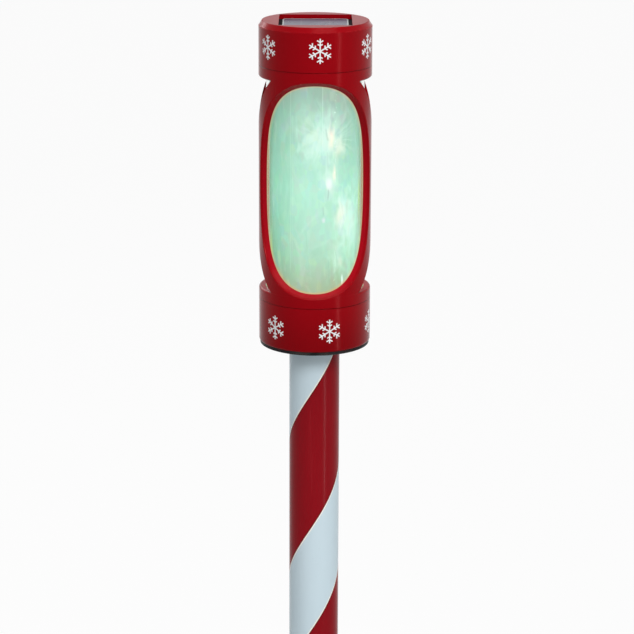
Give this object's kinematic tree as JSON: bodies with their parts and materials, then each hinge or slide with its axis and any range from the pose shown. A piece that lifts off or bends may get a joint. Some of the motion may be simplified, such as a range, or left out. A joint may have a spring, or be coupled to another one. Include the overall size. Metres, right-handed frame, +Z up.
{
  "type": "solar bollard light",
  "caption": "Solar garden bollard light: round head with a film-lined windowed frame, twist-off solar cap, striped push-fit pole and a ground spike.",
  "frame": {"origin": "on the pole's axis at ground level, in the plane of the underside of the spike's flange", "axes": "+Z up along the pole, -Y towards the front window, +X to its right seen from the front"},
  "size_m": [0.0766, 0.0766, 1.0052],
  "materials": {
    "red_plastic": "deep red moulded gloss",
    "black_plastic": "satin black moulding",
    "striped_pole": "satin, red and pale spiral stripe",
    "white_ink": "printed white",
    "white_plastic": "satin white",
    "clear_tube": "clear gloss",
    "iridescent_film": "crumpled iridescent film, mint green when lit",
    "rubber": "matt",
    "solar_cell": "resin-coated silicon",
    "steel": "plated",
    "battery_wrap": "plain green wrap",
    "board_green": "solder mask",
    "lamp_resin": "clear resin",
    "wire_sleeve": "plain sleeve"
  },
  "bodies": {
    "stake": {"ground_spike": "black_plastic"},
    "lower_tube": {"lower_pole": "striped_pole", "pole_coupler": "black_plastic"},
    "upper_tube": {"upper_pole": "striped_pole"},
    "head": {"base_plate": "black_plastic", "base_screws": "steel", "bottom_cap": "red_plastic", "lower_snowflakes": "white_ink", "reflector_disc": "white_plastic", "diffuser_tube": "clear_tube", "film_liner": "iridescent_film", "window_frame": "red_plastic"},
    "seal": {"cap_seal": "rubber"},
    "cap": {"solar_cap": "red_plastic", "upper_snowflakes": "white_ink", "solar_panel": "solar_cell", "panel_gasket": "rubber", "inner_cover": "black_plastic", "cover_screws": "steel", "battery": "battery_wrap", "battery_contacts": "steel", "circuit_board": "board_green", "board_parts": "black_plastic", "switch_body": "steel", "led_board": "board_green", "leds": "lamp_resin", "led_lens": "clear_tube", "wires": "wire_sleeve"},
    "knob": {"switch_knob": "black_plastic"}
  },
  "joints": [
    {"name": "lower_pole_pull", "type": "slide", "parent": "stake", "child": "lower_tube", "axis": [0, 0, 1], "range_m": [0, 0.035]},
    {"name": "upper_pole_pull", "type": "slide", "parent": "lower_tube", "child": "upper_tube", "axis": [0, 0, 1], "range_m": [0, 0.035]},
    {"name": "head_pull", "type": "slide", "parent": "upper_tube", "child": "head", "axis": [0, 0, 1], "range_m": [0, 0.026]},
    {"name": "cap_rise", "type": "slide", "parent": "head", "child": "seal", "axis": [0, 0, 1], "range_m": [0, 0.0036]},
    {"name": "cap_turn", "type": "hinge", "parent": "seal", "child": "cap", "pos_m": [0, 0, 0.7953], "axis": [0, 0, 1], "range_deg": [0, 90]},
    {"name": "knob_slide", "type": "slide", "parent": "cap", "child": "knob", "axis": [1, 0, 0], "range_m": [0, 0.0024]}
  ],
  "couplings": [
    {"joint": "cap_rise", "follows": "cap_turn", "m_per_rad": 0.0022918}
  ]
}
